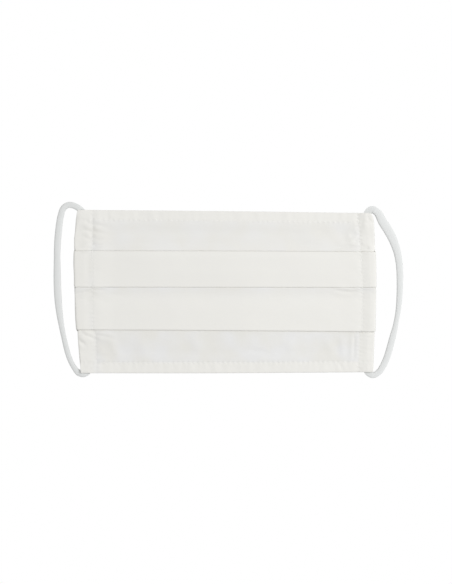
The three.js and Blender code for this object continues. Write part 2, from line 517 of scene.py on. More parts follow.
def finish_surface(
    g: Graph, color: object, roughness: float, sheen: float, bump: bpy.types.Node
) -> bpy.types.Material:
    """Ends a material with its surface shader.

    Args:
        g: the material's nodes.
        color: its colour, as a value or an output.
        roughness: how dull it is.
        sheen: how much light its fuzz catches.
        bump: the relief node.

    Returns:
        The material.
    """
    surface = g.node("BsdfPrincipled")
    g.feed(color, surface.inputs["Base Color"])
    surface.inputs["Roughness"].default_value = roughness
    surface.inputs["Sheen Weight"].default_value = sheen
    surface.inputs["Sheen Roughness"].default_value = 0.6
    surface.inputs["Specular IOR Level"].default_value = 0.2
    g.feed(bump.outputs[0], surface.inputs["Normal"])
    out = g.node("OutputMaterial")
    g.feed(surface.outputs[0], out.inputs["Surface"])
    return g.material


# A crease longer than this fades towards both ends.
SHORTEST_FADING = 4.0


@dataclass(frozen=True)
class Crease:
    """A ridge pressed into the cloth, or a groove between two low shoulders, along points in X and Y."""

    points: tuple[tuple[float, float], ...]
    width: float
    height: float

    def over(self, x: np.ndarray, y: np.ndarray) -> np.ndarray:
        """Its height over places on the cloth.

        Args:
            x: places in X.
            y: places in Y.

        Returns:
            The added height.
        """
        nearest = np.full(x.shape, 1e9)
        place = np.zeros(x.shape)
        runs = [math.dist(a, b) for a, b in zip(self.points, self.points[1:])]
        before = 0.0
        for (x0, y0), (x1, y1), run in zip(self.points, self.points[1:], runs):
            dx, dy = x1 - x0, y1 - y0
            t = np.clip(((x - x0) * dx + (y - y0) * dy) / run**2, 0.0, 1.0)
            away = np.hypot(x - x0 - t * dx, y - y0 - t * dy)
            place = np.where(away < nearest, (before + t * run) / sum(runs), place)
            nearest = np.minimum(nearest, away)
            before += run
        shape = np.exp(-((nearest / self.width) ** 2))
        if self.height < 0:
            shape -= 0.75 * np.exp(-((nearest / self.width / 2.3) ** 2))
        if before > SHORTEST_FADING:
            shape *= smooth(place / 0.25) * smooth((1 - place) / 0.45)
        return self.height * shape


CREASES = (
    Crease(((-85.5, 24.8), (-78.0, 26.0), (-72.0, 27.6), (-66.0, 28.0)), 1.0, -1.3),
    Crease(((-84.0, 41.4), (-76.0, 39.4), (-68.0, 38.0)), 1.2, -0.9),
    Crease(((-84.0, 36.2), (-76.0, 35.0), (-67.0, 34.0)), 1.2, -0.9),
    Crease(((-84.0, 31.8), (-76.0, 30.8), (-68.0, 30.4)), 1.2, -0.95),
    Crease(((-70.0, 43.6), (-62.0, 41.0)), 1.6, -0.3),
    Crease(((64.0, 25.6), (74.0, 26.2), (86.0, 25.8)), 1.0, -1.1),
    Crease(((81.8, 25.7), (83.6, 25.5)), 1.3, -0.8),
    Crease(((74.9, 33.1), (76.5, 33.9)), 1.4, -0.6),
    Crease(((76.8, 29.6), (78.2, 30.4)), 1.4, -0.6),
    Crease(((79.2, 37.1), (80.4, 38.1)), 1.4, -0.5),
    Crease(((83.0, 44.0), (86.0, 41.0)), 1.1, -0.4),
    Crease(((44.0, 39.5), (47.0, 34.0), (56.0, 30.0), (73.0, 26.6)), 4.6, 0.42),
    Crease(((58.0, 38.0), (64.0, 33.0), (72.0, 30.0)), 3.0, 0.22),
    Crease(((-84.0, 4.6), (-76.0, 4.0), (-66.0, 3.9)), 0.8, -0.35),
    Crease(((-88.5, -2.0), (-83.0, -0.6), (-76.0, 1.2), (-66.0, 1.4)), 1.0, -1.2),
    Crease(((-72.0, -1.6), (-58.0, -1.9)), 1.4, -0.3),
    Crease(((62.0, 1.0), (74.5, -0.4), (80.4, 0.6), (88.5, 0.0)), 1.0, -1.0),
    Crease(((-67.0, -24.5), (-65.0, -34.0), (-59.0, -43.0)), 3.0, 0.36),
    Crease(((-52.0, -25.0), (-48.0, -34.0), (-44.0, -42.0)), 3.6, 0.28),
    Crease(((-20.5, -25.0), (-12.0, -39.0)), 3.2, 0.28),
    Crease(((12.0, -34.4), (20.0, -35.2), (29.0, -37.0)), 1.8, -0.36),
    Crease(((36.0, -27.0), (42.0, -38.0)), 3.4, 0.2),
    Crease(((59.0, -26.0), (62.0, -33.0), (65.0, -41.0)), 2.8, 0.28),
    Crease(((69.0, -25.0), (69.6, -41.0)), 2.2, 0.30),
    Crease(((76.4, -23.5), (76.0, -43.0)), 1.0, -0.7),
    Crease(((66.5, -41.0), (70.0, -47.0)), 1.0, -0.4),
    Crease(((-85.0, -24.6), (-79.0, -26.6), (-73.0, -28.8)), 1.1, -1.2),
    Crease(((-77.0, -25.2), (-63.0, -27.8)), 1.1, -0.9),
    Crease(((-87.0, -27.6), (-80.5, -32.4)), 1.1, -0.9),
    Crease(((-80.0, -39.4), (-72.0, -37.6), (-66.0, -37.4)), 1.2, -0.7),
    Crease(((-80.0, -43.6), (-71.0, -42.2)), 1.2, -0.6),
    Crease(((80.0, -26.6), (87.5, -27.2)), 0.9, -0.45),
    Crease(((80.0, -34.0), (87.5, -34.6)), 0.9, -0.45),
)


@dataclass(frozen=True)
class Row:
    """One row of the cloth's course: where it lies, in which layer, and where its side edge comes from."""

    line: Line
    raised: float
    layer: float
    zone: Zone
    cover: float
    folds_to: float | None = None
    swell: float = 0.0
    spacing: float = 0.8


# Places beside a fold, by distance from its edge and layer, that keep a wall's thickness off it.
FOLD_PASS = ((0.62, 1.4), (0.53, 1.385), (0.445, 1.34), (0.37, 1.26), (0.305, 1.165), (0.26, 1.045),
             (0.1, 0.58), (-0.15, 0.26))
# Rows nearer than this need no row between them.
SHORT_SPAN = 0.3


@dataclass(frozen=True)
class FineRow:
    """A row of the fine course, part of the way between two rows."""

    start: Row
    end: Row
    share: float
    past: float
    height: float
    swell: float


def waviness(x: np.ndarray, y: np.ndarray, lengths: tuple[float, float], level: float) -> np.ndarray:
    """Even random waves over places on the cloth.

    Args:
        x: places in X.
        y: places in Y.
        lengths: how long the waves are in X and in Y.
        level: which slice of the noise to read.

    Returns:
        Heights, from about -1 to 1.
    """
    long_x, long_y = lengths
    places = zip(x.ravel(), y.ravel())
    waves = [noise.noise(Vector((a / long_x, b / long_y, level))) for a, b in places]
    return np.array(waves).reshape(x.shape)


@dataclass
class PleatedBody:
    """The folded front: one wall of cloth that runs from hem to hem through three pleats."""

    finish: bpy.types.Material
    wall: float = 0.55
    step: float = 0.65
    clearance: float = 0.15
    tunnel: float = 1.6
    mouth_rise: float = 0.35
    lie: float = 0.5
    roll: float = 0.6
    crisp: float = 0.5
    wall_drop: float = 0.1
    ramp_in: float = 14.0
    ramp_out: float = 5.0
    hem: float = 6.6
    hem_ramp: float = 6.5
    depths: tuple[float, float, float] = (10.0, 9.3, 10.0)
    arc_steps: int = 8
    middle_columns: int = 105
    made: bpy.types.Object | None = field(default=None, init=False)

    def course(self) -> list[Row]:
        """The rows of the cloth, from the raw edge of the top hem to that of the bottom one.

        Returns:
            The rows, in order along the cloth.
        """
        upper, middle, lower = self.depths
        top, panel, bottom = Zone.TOP, Zone.PANEL, Zone.BOTTOM
        return [
            Row(TOP_EDGE, -self.hem, 0, top, 2, spacing=2.0),
            Row(TOP_EDGE, 0.0, 0, top, 2, folds_to=1),
            Row(TOP_EDGE, -self.hem - 0.3, 1, top, 2),
            Row(TOP_EDGE, -self.hem - self.hem_ramp, 0, top, 1),
            Row(UPPER_PLEAT, 5.0, 0.4, top, 1.4),
            Row(UPPER_PLEAT, 1.3, 1.25, top, 2.25, spacing=0.5),
            *(Row(UPPER_PLEAT, away, layer, top, 3) for away, layer in FOLD_PASS),
            Row(UPPER_PLEAT, -0.6, 0.08, panel, 3),
            Row(UPPER_PLEAT, -2.2, 0, panel, 3, spacing=2.0),
            Row(UPPER_PLEAT, -upper, 0, panel, 3, folds_to=1, spacing=2.0),
            Row(UPPER_PLEAT, 0.0, 1, panel, 3, folds_to=2, spacing=0.8),
            Row(UPPER_PLEAT, -3.6, 2, panel, 3, swell=0.6, spacing=1.2),
            Row(UPPER_PLEAT, -10.9, 2, panel, 3, swell=0.5),
            Row(MIDDLE_PLEAT, 0.0, 2, panel, 3, folds_to=1, spacing=2.0),
            Row(MIDDLE_PLEAT, middle, 1, panel, 3, folds_to=0, spacing=2.0),
            Row(MIDDLE_PLEAT, 2.6, 0, panel, 3, spacing=1.1),
            Row(MIDDLE_PLEAT, 0.6, 0.08, panel, 3),
            *(Row(MIDDLE_PLEAT, -away, layer, panel, 3) for away, layer in reversed(FOLD_PASS)),
            Row(MIDDLE_PLEAT, -1.5, 1.15, panel, 2.15, spacing=0.75),
            Row(MIDDLE_PLEAT, -4.8, 0.8, panel, 1.8),
            Row(LOWER_PLEAT, lower + 1.2, 2, panel, 3),
            Row(LOWER_PLEAT, 0.0, 2, panel, 3, folds_to=1, spacing=2.0),
            Row(LOWER_PLEAT, lower, 1, panel, 3, folds_to=0, spacing=2.0),
            Row(LOWER_PLEAT, 2.2, 0, panel, 3, spacing=1.2),
            Row(LOWER_PLEAT, -0.05, 0, panel, 3, spacing=0.4),
            Row(LOWER_PLEAT, -0.8, 0, bottom, 1),
            Row(BOTTOM_EDGE, self.hem + self.hem_ramp, 0, bottom, 1),
            Row(BOTTOM_EDGE, self.hem + 0.3, 1, bottom, 2),
            Row(BOTTOM_EDGE, 0.0, 1, bottom, 2, folds_to=0, spacing=2.0),
            Row(BOTTOM_EDGE, self.hem, 0, bottom, 2),
        ]

    def fine_course(self) -> list[FineRow]:
        """The course with rows close enough together for its bends and creases.

        Returns:
            The fine rows, in order.
        """
        rows = self.course()
        fine: list[FineRow] = []
        heights = [row.line[1] + row.raised for row in rows]
        radius = self.step / 2
        for k, row in enumerate(rows):
            forward = float(np.sign(heights[k] - heights[k - 1])) if k else 1.0
            level = row.layer * self.step
            if row.folds_to is None:
                fine.append(FineRow(row, row, 0.0, 0.0, level, row.swell))
                past = 0.0
            else:
                rise = float(np.sign(row.folds_to - row.layer))
                for n in range(self.arc_steps + 1):
                    turn = math.pi * n / self.arc_steps
                    back = radius + self.wall / 2 - radius * math.sin(turn)
                    height = level + rise * radius * (1 - math.cos(turn))
                    fine.append(FineRow(row, row, 0.0, -back * forward, height, 0.0))
                past = -(radius + self.wall / 2) * forward
                level = row.folds_to * self.step
            if k + 1 == len(rows):
                break
            after = rows[k + 1]
            span = abs(heights[k + 1] - heights[k])
            fewest = 1 if span < SHORT_SPAN else 2
            count = max(fewest, round(span / row.spacing))
            onward = float(np.sign(heights[k + 1] - heights[k]))
            tuck = -(radius + self.wall / 2) * onward if after.folds_to is not None else 0.0
            for n in range(1, count):
                share = n / count
                height = level + (after.layer * self.step - level) * float(smooth(share))
                swell = row.swell + (after.swell - row.swell) * float(smooth(share))
                shift = past + (tuck - past) * share
                fine.append(FineRow(row, after, share, shift, height, swell))
        return fine

    def side_centre(self, lines: SideLines, row: Row, y: np.ndarray) -> np.ndarray:
        """Distance from the middle of the axis that the side edge rolls round.

        Args:
            lines: the side.
            row: the row of the course.
            y: heights in Y.

        Returns:
            One distance for each height.
        """
        turn, drop = self.side_turn(lines, y)
        cover = self.wall + (row.cover - 1) * self.step
        edge = lines.edge_at(row.zone, y)
        return edge - (self.roll + cover) * self.corner(turn)[0] - drop * np.cos(turn)

    def corner(self, angle: np.ndarray | float) -> tuple[np.ndarray, np.ndarray]:
        """The pressed shape of a side fold: nearly flat at first, then a quick turn down.

        Args:
            angle: how far it has turned.

        Returns:
            How far out and how far up it is, as shares of its radius.
        """
        return np.abs(np.sin(angle)) ** self.crisp, np.abs(np.cos(angle)) ** self.crisp

    def side_turn(self, lines: SideLines, y: np.ndarray) -> tuple[np.ndarray, np.ndarray]:
        """How far the side edge turns down, and how long it runs on below the turn.

        Args:
            lines: the side.
            y: heights in Y.

        Returns:
            Angles, and lengths.
        """
        mouth = lines.mouth_at(y)
        turn = math.radians(90.0) * (1 - mouth) + math.radians(25.0) * mouth
        return turn, np.full_like(turn, self.wall_drop)

    def columns(self) -> list[tuple[str, Side | None, float]]:
        """The places across the cloth, from the left side edge to the right one.

        Returns:
            The part of the section, its side and the place in that part.
        """
        parts = (("drop", 3), ("roll", 8), ("flat", 6), ("rise", 9), ("ramp", 18))
        left = [
            (part, Side.LEFT, 1 - n / count)
            for part, count in parts
            for n in range(count)
        ]
        right = [(part, Side.RIGHT, share) for part, _, share in reversed(left)]
        middle = [
            ("middle", None, n / (self.middle_columns - 1)) for n in range(self.middle_columns)
        ]
        return [*left, *middle, *right]

    def nominal(self) -> np.ndarray:
        """Places in X that the columns have half way down the mask.

        Returns:
            One place for each column.
        """
        y = np.zeros(1)
        row = Row(MIDDLE_PLEAT, 0.0, 0, Zone.PANEL, 3)
        places = [self.column_place(c, row, row, 0.0, y)[0][0] for c in self.columns()]
        return np.array(places)

    def column_place(
        self, column: tuple[str, Side | None, float], start: Row, end: Row, share: float,
        y: np.ndarray,
    ) -> tuple[np.ndarray, np.ndarray, np.ndarray]:
        """Where a column lies under the cloth.

        Args:
            column: its part, side and place.
            start: the row before.
            end: the row after.
            share: how far between them.
            y: heights in Y.

        Returns:
            X, the lift, and the angle that the cloth has turned by.
        """
        part, side, q = column
        if side is None:
            low = -(LEFT.seam_at(y) - self.ramp_in)
            high = RIGHT.seam_at(y) - self.ramp_in
            return low + (high - low) * q, np.full_like(y, self.lie), np.zeros_like(y)
        lines = LEFT if side is Side.LEFT else RIGHT
        seam = lines.seam_at(y)
        centre = self.side_centre(lines, start, y)
        if end is not start:
            centre += (self.side_centre(lines, end, y) - centre) * float(smooth(share))
        turn, drop = self.side_turn(lines, y)
        out, lift, angle = seam, np.full_like(y, lines.pinch), np.zeros_like(y)
        tunnel = self.tunnel + self.mouth_rise * lines.mouth_at(y)
        if part == "ramp":
            out = seam - self.ramp_in * (1 - q)
            lift = np.full_like(y, self.lie + (lines.pinch - self.lie) * float(smooth(q)))
        elif part == "rise":
            out = seam + self.ramp_out * q
            climb = 0.6 * q + 0.4 * float(smooth(q))
            lift = lines.pinch + (tunnel - lines.pinch) * climb
        elif part == "flat":
            start_at = seam + self.ramp_out
            out = start_at + (centre - start_at) * q
            lift = tunnel
        else:
            angle = turn * (q if part == "roll" else 1.0)
            outward, upward = self.corner(angle)
            out = centre + self.roll * outward
            lift = tunnel - self.roll * (1 - upward)
            if part == "drop":
                out = out + drop * q * np.cos(angle)
                lift = lift - drop * q * np.sin(angle)
        return side.value * out, lift, side.value * angle

    def relief(self, x: np.ndarray, y: np.ndarray) -> np.ndarray:
        """How far the cloth stands off its even lie, the same for every layer at one place.

        Args:
            x: places in X.
            y: places in Y.

        Returns:
            Heights, above or below.
        """
        broad = waviness(x, y, (34.0, 22.0), 3.1)
        small = waviness(x, y, (9.0, 6.5), 8.4)
        hems = np.exp(-(((y - 44.6) / 3.2) ** 2)) + np.exp(-(((y + 44.6) / 3.2) ** 2))
        pulled = waviness(x, y, (3.1, 9.0), 5.7)
        sides = np.where(x < 0, -LEFT.seam_at(y), RIGHT.seam_at(y))
        near = np.exp(-(((x - sides) / 5.0) ** 2))
        ruck = waviness(x, y, (9.0, 3.4), 1.9)
        total = 0.45 * broad + 0.07 * small + 0.26 * hems * pulled + 0.24 * near * ruck
        for crease in CREASES:
            total = total + crease.over(x, y)
        held = 1 - 0.75 * np.exp(-(((x - sides) / 1.5) ** 2))
        outward = np.abs(x) - np.abs(sides)
        floors = [read_table(lines.floors, outward) for lines in (LEFT, RIGHT)]
        return np.maximum(total * held, np.where(x < 0, *floors))

    def surface(self) -> tuple[np.ndarray, np.ndarray, list[FineRow]]:
        """The middle of the wall, as a grid of points.

        Returns:
            Points for each fine row and column, lengths along the course, and the fine rows.
        """
        fine = self.fine_course()
        across = np.clip(self.nominal() / HALF_WIDTH, -1.0, 1.0)
        columns = self.columns()
        grid = np.zeros((len(fine), len(columns), 3))
        turned = np.zeros(grid.shape[:2])
        for r, row in enumerate(fine):
            first = line_at(row.start.line, across) + row.start.raised
            last = line_at(row.end.line, across) + row.end.raised
            y = first + (last - first) * row.share + row.past
            height = self.wall / 2 + row.height + row.swell * (1 - across**2)
            for c, column in enumerate(columns):
                place = self.column_place(column, row.start, row.end, row.share, y[c:c + 1])
                x, lift, angle = (float(part[0]) for part in place)
                turned[r, c] = angle
                outward, upward = (float(part) for part in self.corner(angle))
                grid[r, c] = (
                    x + height[c] * math.copysign(outward, angle),
                    y[c],
                    self.clearance + lift + height[c] * upward,
                )
        grid[:, :, 2] += self.relief(grid[:, :, 0], grid[:, :, 1]) * np.cos(turned) ** 2
        gaps = np.linalg.norm(np.diff(grid, axis=0), axis=2)
        along = np.vstack([np.zeros(grid.shape[1]), np.cumsum(gaps, axis=0)])
        return grid, along, fine

    def build(self) -> bpy.types.Object:
        """Returns:
            The object.
        """
        grid, along, fine = self.surface()
        faces = shell_faces(*grid.shape[:2])
        self.made = write_mesh("pleated_cloth", thicken(grid, self.wall), faces)
        self.dress(grid, along, fine)
        self.made.data.materials.append(self.finish)
        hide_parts("pleated_body")
        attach(self.made, "root")
        return self.made

    def dress(self, grid: np.ndarray, along: np.ndarray, fine: list[FineRow]) -> None:
        """Writes what the finish reads: the weave's map, how thin the cloth is together with painted shade
        below the middle pleat and along the left seam, and the distance from the seams.

        Args:
            grid: the middle of the wall.
            along: lengths along the course.
            fine: the rows of the grid.
        """
        x, y = grid[:, :, 0], grid[:, :, 1]
        seam = np.where(x < 0, -x - LEFT.seam_at(y), x - RIGHT.seam_at(y))
        across = np.clip(x / HALF_WIDTH, -1.0, 1.0)
        top = line_at(TOP_EDGE, across) - HEM_SEAM
        bottom = line_at(BOTTOM_EDGE, across) + BOTTOM_HEM_SEAM
        hem = np.where(y > 0, y - top, y - bottom)
        tints = {Zone.TOP: 0.5, Zone.PANEL: 0.0, Zone.BOTTOM: 0.85}
        shade = np.array([
            tints[row.start.zone] * (1 - row.share) + tints[row.end.zone] * row.share
            for row in fine
        ])
        in_hem = np.where(y > 0, hem, -hem)
        one_ply = smooth(0.5 - seam / 1.6) * smooth(0.5 - in_hem / 1.2)
        # Painted shade: a darker tint that fades out below the middle pleat's fold edge, where the fold
        # shades the cloth.
        below = line_at(MIDDLE_PLEAT, across) - y
        painted_fold_shade = np.where(below > 0, 0.85 * np.exp(-np.maximum(below, 0.0) / 3.2), 0.0)
        # Painted shade: a darker tint along the left casing seam, on the side turned away from the light.
        left_seam = np.where(x < 0, 0.45 * np.exp(-((seam / 2.8) ** 2)), 0.0)
        thin_ply_and_shade = np.minimum(shade[:, None] * one_ply + painted_fold_shade + left_seam, 1.0)
        for name, values in (("seam_off", seam), ("hem_off", hem), ("thin_ply_and_shade", thin_ply_and_shade)):
            write_floats(self.made, name, np.concatenate([values.ravel(), values.ravel()]))
        write_uv(
            self.made,
            np.concatenate([x.ravel(), x.ravel()]),
            np.concatenate([along.ravel(), along.ravel()]),
        )


def shell_faces(rows: int, columns: int) -> list[list[int]]:
    """Faces of a closed wall between two grids, the front one first.

    Args:
        rows: rows of each grid.
        columns: columns of each grid.

    Returns:
        Four vertex numbers for each face, outwards.
    """
    number = np.arange(rows * columns).reshape(rows, columns)
    a, b = number[:-1, :-1].ravel(), number[1:, :-1].ravel()
    c, d = number[1:, 1:].ravel(), number[:-1, 1:].ravel()
    back = rows * columns
    faces = [np.stack([a, b, c, d], axis=1), np.stack([d, c, b, a], axis=1) + back]
    for edge in (number[0], number[-1][::-1], number[::-1, 0], number[:, -1]):
        start, end = edge[:-1], edge[1:]
        faces.append(np.stack([start, end, end + back, start + back], axis=1))
    return np.concatenate(faces).tolist()


def thicken(grid: np.ndarray, wall: float) -> np.ndarray:
    """Points of both faces of a wall, from a grid along its middle.

    Args:
        grid: points for each row and column.
        wall: how thick it is.

    Returns:
        The points of the front face, then those of the back one.
    """
    normal = np.cross(np.gradient(grid, axis=0), np.gradient(grid, axis=1))
    normal /= np.maximum(np.linalg.norm(normal, axis=2, keepdims=True), 1e-9)
    return np.concatenate([
        (grid + normal * wall / 2).reshape(-1, 3),
        (grid - normal * wall / 2).reshape(-1, 3),
    ])


def run_of(line: np.ndarray) -> np.ndarray:
    """How far along a line each of its points is.

    Args:
        line: the points.

    Returns:
        One length for each point.
    """
    return np.concatenate([[0.0], np.cumsum(np.linalg.norm(np.diff(line, axis=0), axis=1))])


@dataclass
class Casing:
    """The strip on the back that closes the tunnel for one ear loop."""

    name: str
    replaces: str
    lines: SideLines
    finish: bpy.types.Material
    body: PleatedBody
    wall: float = 0.55
    floor_gap: float = 0.15
    turn: float = 0.3
    turn_in: float = 1.9
    fall: float = 3.2
    flat_pinch: float = 0.62
    rows: int = 88

    def build(self) -> bpy.types.Object:
        """Returns:
            The object.
        """
        y = np.linspace(self.lines.casing_top, self.lines.casing_bottom, self.rows)
        zone_edge = np.select(
            [y > 24.0, y > -23.0],
            [self.lines.edge_at(Zone.TOP, y), self.lines.edge_at(Zone.PANEL, y)],
            self.lines.edge_at(Zone.BOTTOM, y),
        )
        seam = self.lines.seam_at(y)
        inner = seam - self.turn_in
        outer = zone_edge - 0.05 - self.wall / 2
        base = self.floor_gap + self.wall / 2
        sections = []
        for k in range(self.rows):
            flat = np.linspace(inner[k], outer[k] - self.turn, 13)
            section = []
            for out in flat:
                near = 1 - float(smooth((out - seam[k]) / self.fall))
                x = np.array([[self.lines.side.value * out]])
                dip = min(float(self.body.relief(x, np.array([[y[k]]]))[0, 0]), 0.0)
                lift = max(self.lines.pinch - self.flat_pinch + dip, 0.0)
                section.append((out, base + lift * near))
            for n in range(1, 7):
                angle = math.pi / 2 * n / 6
                out = outer[k] - self.turn + self.turn * math.sin(angle)
                section.append((out, base + self.turn * (1 - math.cos(angle))))
            section.append((outer[k], base + self.turn + 0.08))
            sections.append([(self.lines.side.value * out, y[k], z) for out, z in section])
        grid = np.array(sections)
        if self.lines.side is Side.LEFT:
            grid = grid[:, ::-1]
        made = write_mesh(self.name, thicken(grid, self.wall), shell_faces(*grid.shape[:2]))
        made.data.materials.append(self.finish)
        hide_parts(self.replaces)
        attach(made, "root")
        return made


@dataclass(frozen=True)
class Thread:
    """One stitch of thread, modelled once and copied along the seams."""

    length: float = 2.0
    radius: float = 0.19
    flatness: float = 0.7

    def model(self) -> tuple[np.ndarray, list[tuple[int, ...]]]:
        """Models the stitch along X, with tapered ends that dive into the cloth.

        Returns:
            Its points in millimetres, and its faces.
        """
        bpy.ops.object.select_all(action="DESELECT")
        bpy.ops.mesh.primitive_cylinder_add(
            vertices=6, radius=self.radius, depth=self.length * 0.6, location=(0, 0, 0),
            rotation=(0, math.pi / 2, 0),
        )
        thread = bpy.context.active_object
        bpy.ops.object.transform_apply(location=False, rotation=True, scale=False)
        for sign in (-1, 1):
            bpy.ops.object.mode_set(mode="EDIT")
            bpy.ops.mesh.select_all(action="DESELECT")
            bpy.ops.object.mode_set(mode="OBJECT")
            for face in thread.data.polygons:
                face.select = face.normal.x * sign > 0.9
            bpy.ops.object.mode_set(mode="EDIT")
            bpy.ops.mesh.select_mode(type="FACE")
            reach = sign * self.length * 0.2
            bpy.ops.mesh.extrude_region_move(
                TRANSFORM_OT_translate={"value": (reach, 0, -self.radius)}
            )
            bpy.ops.transform.resize(value=(1, 0.5, 0.5))
            bpy.ops.object.mode_set(mode="OBJECT")
        points = np.array([tuple(v.co) for v in thread.data.vertices])
        points[:, 2] *= self.flatness
        faces = [tuple(face.vertices) for face in thread.data.polygons]
        bpy.data.objects.remove(thread, do_unlink=True)
        return points, faces


@dataclass
class StitchLine:
    """A line of machine stitches laid on a cloth piece."""

    name: str
    cloth: list[bpy.types.Object]
    finish: bpy.types.Material
    path: list[tuple[float, float]]
    pitch: float
    face: Face
    sink: float = 0.02

    def places(self) -> list[tuple[float, float, float, float]]:
        """Places one stitch apart along the path.

        Returns:
            X, Y and the direction in X and Y of each stitch.
        """
        line = np.array(self.path, dtype=float)
        run = run_of(line)
        count = int(run[-1] / self.pitch)
        at = (np.arange(count) + 0.5) * run[-1] / count
        x, y = np.interp(at, run, line[:, 0]), np.interp(at, run, line[:, 1])
        step = 0.2
        dx = np.interp(at + step, run, line[:, 0]) - np.interp(at - step, run, line[:, 0])
        dy = np.interp(at + step, run, line[:, 1]) - np.interp(at - step, run, line[:, 1])
        long = np.hypot(dx, dy)
        return list(zip(x, y, dx / long, dy / long))

    def build(self, thread: Thread) -> bpy.types.Object:
        """Copies the stitch along the path and joins the copies.

        Args:
            thread: the stitch to copy.

        Returns:
            The object.
        """
        shape, shape_faces = thread.model()
        graph = bpy.context.evaluated_depsgraph_get()
        trees = [BVHTree.FromObject(piece, graph) for piece in self.cloth]
        sign = float(self.face.value)
        points, faces = [], []
        for x, y, dx, dy in self.places():
            start = Vector((x * MM, y * MM, sign * 0.05))
            hits = [tree.ray_cast(start, Vector((0, 0, -sign))) for tree in trees]
            found = [hit for hit in hits if hit[0] is not None]
            if not found:
                continue
            where, normal, _, _ = max(found, key=lambda hit: hit[0].z * sign)
            up = np.array(normal) * float(np.sign(normal.z * sign) or 1.0)
            along = np.array([dx, dy, 0.0])
            along = along - up * float(along @ up)
            along /= np.linalg.norm(along)
            beside = np.cross(up, along)
            turned = shape @ np.stack([along, beside, up])
            centre = np.array(where) / MM - up * self.sink
            faces.extend(tuple(v + len(points) * len(shape) for v in f) for f in shape_faces)
            points.append(turned + centre)
        made = write_mesh(self.name, np.concatenate(points), faces)
        made.data.materials.append(self.finish)
        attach(made, "root")
        log.info("%s: %d stitches", self.name, len(points))
        return made


LEFT_ROUTE = (
    (-83.1, 32.6, 1.2), (-82.8, 38.0, 1.2), (-82.8, 44.0, 1.25), (-85.1, 48.3, 1.3),
    (-88.4, 50.4, 1.25), (-91.9, 50.95, 1.2), (-94.8, 49.1, 1.2), (-96.2, 45.4, 1.2),
    (-97.1, 40.8, 1.2), (-98.1, 31.4, 1.2), (-98.5, 23.0, 1.2), (-98.5, 13.0, 1.2),
    (-98.3, 2.0, 1.2), (-97.5, -9.5, 1.2), (-95.9, -20.5, 1.2), (-93.55, -31.5, 1.2),
    (-91.45, -38.8, 1.2), (-89.2, -43.6, 1.2), (-86.4, -47.3, 1.25), (-83.2, -48.7, 1.3),
    (-80.7, -46.9, 1.3), (-80.5, -43.0, 1.25), (-81.4, -34.0, 1.2), (-82.4, -24.0, 1.2),
    (-83.2, -12.0, 1.2), (-83.4, 2.0, 1.2), (-83.4, 17.0, 1.2), (-83.1, 31.6, 1.2),
)
RIGHT_ROUTE = (
    (83.7, 30.6, 1.2), (83.2, 37.0, 1.2), (83.2, 42.5, 1.25), (84.4, 46.9, 1.3),
    (86.8, 48.2, 1.25), (89.8, 46.4, 1.2), (93.2, 40.4, 1.2), (96.0, 36.1, 1.2),
    (98.5, 31.4, 1.2), (100.3, 26.7, 1.2), (101.7, 22.0, 1.2), (102.75, 15.0, 1.2),
    (103.0, 8.0, 1.2), (102.8, -1.4, 1.2), (102.0, -10.8, 1.2), (100.3, -20.2, 1.2),
    (97.95, -29.6, 1.2), (95.2, -39.0, 1.2), (93.1, -43.6, 1.2), (90.5, -47.4, 1.25),
    (87.1, -49.1, 1.3), (84.4, -47.6, 1.3), (83.3, -44.0, 1.25), (83.2, -34.0, 1.2),
    (84.0, -22.0, 1.2), (84.4, -11.0, 1.2), (84.5, 2.0, 1.2), (84.3, 16.0, 1.2),
    (83.7, 29.6, 1.2),
)


